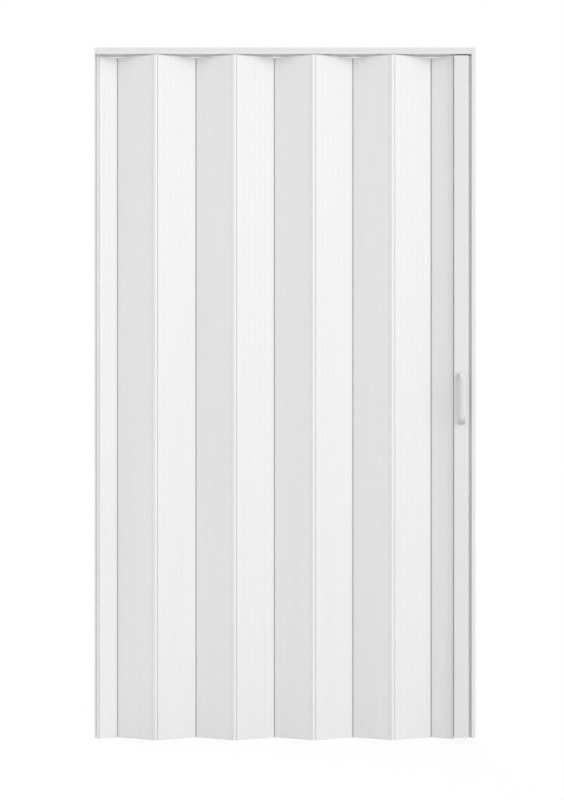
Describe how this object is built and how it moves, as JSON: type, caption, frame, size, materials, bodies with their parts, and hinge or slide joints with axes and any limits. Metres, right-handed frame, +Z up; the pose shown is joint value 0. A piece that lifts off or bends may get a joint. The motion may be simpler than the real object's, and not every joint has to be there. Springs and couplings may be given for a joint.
{
  "type": "accordion door",
  "caption": "Folding door of interlocking hollow slats that hang from a head track between two jambs, with a lead post, bow handles and a magnetic strike.",
  "frame": {"origin": "top face of the head track, at the middle of its width and depth", "axes": "+X to the right along the opening seen from the front, +Y away from the viewer, +Z up"},
  "size_m": [1.1, 0.098, 2],
  "materials": {
    "slat_pvc": "satin",
    "rail_pvc": "satin",
    "handle_plastic": "gloss",
    "cap_plastic": "satin",
    "nylon": "matte",
    "zinc_steel": "satin",
    "magnet_rubber": "matte"
  },
  "bodies": {
    "wall_frame": {"head_track": "rail_pvc", "fixed_jamb": "rail_pvc", "strike_jamb": "rail_pvc", "keeper_strip": "zinc_steel"},
    "left_end": {"half_slat_left": "slat_pvc"},
    "panel_1": {"slat_1": "slat_pvc"},
    "panel_2": {"slat_2": "slat_pvc", "glider_1": "nylon"},
    "panel_3": {"slat_3": "slat_pvc"},
    "panel_4": {"slat_4": "slat_pvc", "glider_2": "nylon"},
    "panel_5": {"slat_5": "slat_pvc"},
    "panel_6": {"slat_6": "slat_pvc", "glider_3": "nylon"},
    "panel_7": {"slat_7": "slat_pvc"},
    "panel_8": {"slat_8": "slat_pvc", "glider_4": "nylon"},
    "right_end": {"half_slat_right": "slat_pvc"},
    "post": {"lead_post": "rail_pvc", "post_top_cap": "cap_plastic", "post_bottom_cap": "cap_plastic", "magnet_strip": "magnet_rubber", "handle_front": "handle_plastic", "handle_back": "handle_plastic", "handle_screws": "zinc_steel", "post_glider_left": "nylon", "post_glider_right": "nylon"}
  },
  "joints": [
    {"name": "jamb_hinge", "type": "hinge", "parent": "wall_frame", "child": "left_end", "pos_m": [-0.5436, 0, 0], "axis": [0, 0, 1], "range_deg": [0, 63]},
    {"name": "fold_1", "type": "hinge", "parent": "left_end", "child": "panel_1", "pos_m": [-0.48657, 0.01744, 0], "axis": [0, 0, 1], "range_deg": [-126, 0]},
    {"name": "fold_2", "type": "hinge", "parent": "panel_1", "child": "panel_2", "pos_m": [-0.3725, -0.01744, 0], "axis": [0, 0, 1], "range_deg": [0, 126]},
    {"name": "fold_3", "type": "hinge", "parent": "panel_2", "child": "panel_3", "pos_m": [-0.25843, 0.01744, 0], "axis": [0, 0, 1], "range_deg": [-126, 0]},
    {"name": "fold_4", "type": "hinge", "parent": "panel_3", "child": "panel_4", "pos_m": [-0.14437, -0.01744, 0], "axis": [0, 0, 1], "range_deg": [0, 126]},
    {"name": "fold_5", "type": "hinge", "parent": "panel_4", "child": "panel_5", "pos_m": [-0.0303, 0.01744, 0], "axis": [0, 0, 1], "range_deg": [-126, 0]},
    {"name": "fold_6", "type": "hinge", "parent": "panel_5", "child": "panel_6", "pos_m": [0.08377, -0.01744, 0], "axis": [0, 0, 1], "range_deg": [0, 126]},
    {"name": "fold_7", "type": "hinge", "parent": "panel_6", "child": "panel_7", "pos_m": [0.19783, 0.01744, 0], "axis": [0, 0, 1], "range_deg": [-126, 0]},
    {"name": "fold_8", "type": "hinge", "parent": "panel_7", "child": "panel_8", "pos_m": [0.3119, -0.01744, 0], "axis": [0, 0, 1], "range_deg": [0, 126]},
    {"name": "fold_9", "type": "hinge", "parent": "panel_8", "child": "right_end", "pos_m": [0.42597, 0.01744, 0], "axis": [0, 0, 1], "range_deg": [-126, 0]},
    {"name": "post_hinge", "type": "hinge", "parent": "right_end", "child": "post", "pos_m": [0.483, 0, 0], "axis": [0, 0, 1], "range_deg": [0, 63]}
  ],
  "couplings": [
    {"joint": "fold_1", "follows": "jamb_hinge", "ratio": -2},
    {"joint": "fold_2", "follows": "jamb_hinge", "ratio": 2},
    {"joint": "fold_3", "follows": "jamb_hinge", "ratio": -2},
    {"joint": "fold_4", "follows": "jamb_hinge", "ratio": 2},
    {"joint": "fold_5", "follows": "jamb_hinge", "ratio": -2},
    {"joint": "fold_6", "follows": "jamb_hinge", "ratio": 2},
    {"joint": "fold_7", "follows": "jamb_hinge", "ratio": -2},
    {"joint": "fold_8", "follows": "jamb_hinge", "ratio": 2},
    {"joint": "fold_9", "follows": "jamb_hinge", "ratio": -2},
    {"joint": "post_hinge", "follows": "jamb_hinge", "ratio": 1}
  ]
}
